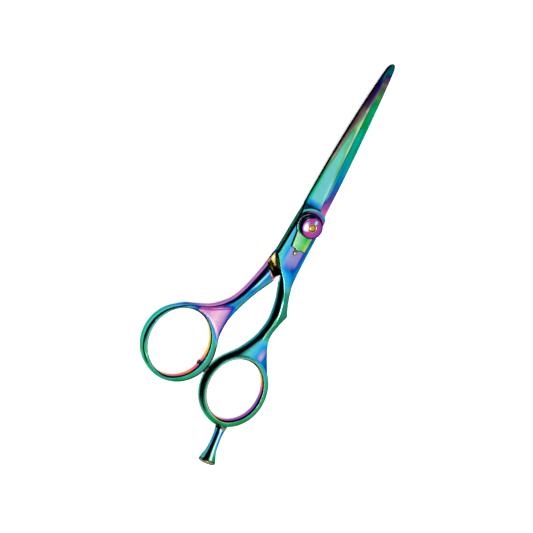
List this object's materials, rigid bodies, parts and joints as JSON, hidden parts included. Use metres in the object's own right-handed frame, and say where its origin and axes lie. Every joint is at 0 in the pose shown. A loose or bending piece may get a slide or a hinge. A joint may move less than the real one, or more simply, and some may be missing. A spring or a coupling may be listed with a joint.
{
  "type": "thinning shears",
  "caption": "Hairdresser's thinning shears: plain blade over a toothed blade, two finger rings, domed tension dial, leaf plate, rubber stop and screwed-in finger rest.",
  "frame": {"origin": "on the pivot axis, at the flat back face of the pivot screw's rear head, which is the plane that the closed shears lie on", "axes": "+Y along the closed blades to the tip, +Z along the pivot axis from the rear head to the dial, +X to the right of a person looking at the dial"},
  "size_m": [0.0516, 0.1563, 0.0096],
  "materials": {
    "rainbow_steel": "polished steel with a rainbow titanium coat that runs from teal through green and blue to violet",
    "rainbow_screw": "polished steel with a blue titanium coat",
    "rainbow_leaf": "satin spring steel with a green titanium coat",
    "rainbow_dial": "polished steel with a magenta and violet titanium coat",
    "rainbow_rest": "polished steel with a teal titanium coat",
    "gold_pin": "polished, gold titanium coat",
    "bearing_bronze": "machined bronze",
    "spring_steel": "bright rolled spring steel",
    "black_screw": "blackened steel",
    "stop_rubber": "matt black rubber",
    "slide_nylon": "natural nylon"
  },
  "bodies": {
    "finger_side": {"finger_half": "rainbow_steel", "pivot_screw": "rainbow_screw", "blade_washer": "slide_nylon", "leaf_spring": "rainbow_leaf", "leaf_pin": "gold_pin", "wave_washer": "spring_steel", "knob_lock_screw": "gold_pin"},
    "thumb_side": {"thumb_half": "rainbow_steel", "pivot_bushing": "bearing_bronze", "rear_washer": "slide_nylon", "bumper": "stop_rubber", "bumper_screw": "black_screw"},
    "dial": {"tension_knob": "rainbow_dial"},
    "rest": {"finger_rest": "rainbow_rest", "finger_rest_stud": "spring_steel"}
  },
  "joints": [
    {"name": "blade_pivot", "type": "hinge", "parent": "finger_side", "child": "thumb_side", "pos_m": [0, 0, 0.0025], "axis": [0, 0, -1], "range_deg": [0, 130]},
    {"name": "tension_dial", "type": "hinge", "parent": "finger_side", "child": "dial", "pos_m": [0, 0, 0.00625], "axis": [0, 0, 1], "range_deg": [0, 360]},
    {"name": "finger_rest_turn", "type": "hinge", "parent": "finger_side", "child": "rest", "pos_m": [0.00762, -0.07795, 0.00262], "axis": [0.055, -0.9864, 0.1551], "range_deg": [0, 360]}
  ]
}
